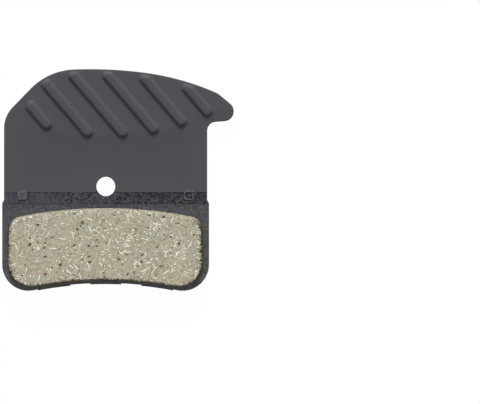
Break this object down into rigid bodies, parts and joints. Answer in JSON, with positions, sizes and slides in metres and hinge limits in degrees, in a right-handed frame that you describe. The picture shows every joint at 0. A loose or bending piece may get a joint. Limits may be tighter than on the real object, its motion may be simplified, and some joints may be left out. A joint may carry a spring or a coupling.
{
  "type": "bicycle disc brake pad",
  "caption": "Flat brake pad: a stamped steel backing plate with a ribbed cooling fin and a retaining pin hole, carrying a moulded friction block that is pressed against the rotor.",
  "frame": {"origin": "centre of the retaining pin hole, on the back face of the plate", "axes": "+Z out of the friction face towards the rotor, +Y from the friction block to the finned end, +X along the pad to the side that the fin's tip overhangs"},
  "size_m": [0.0405, 0.0388, 0.004],
  "materials": {
    "plate_coat": "satin dark grey coat on stamped steel",
    "friction_compound": "dull moulded compound with pale fibres and dark grains"
  },
  "bodies": {
    "root": {"backing_plate": "plate_coat", "friction_block": "friction_compound"}
  },
  "joints": []
}
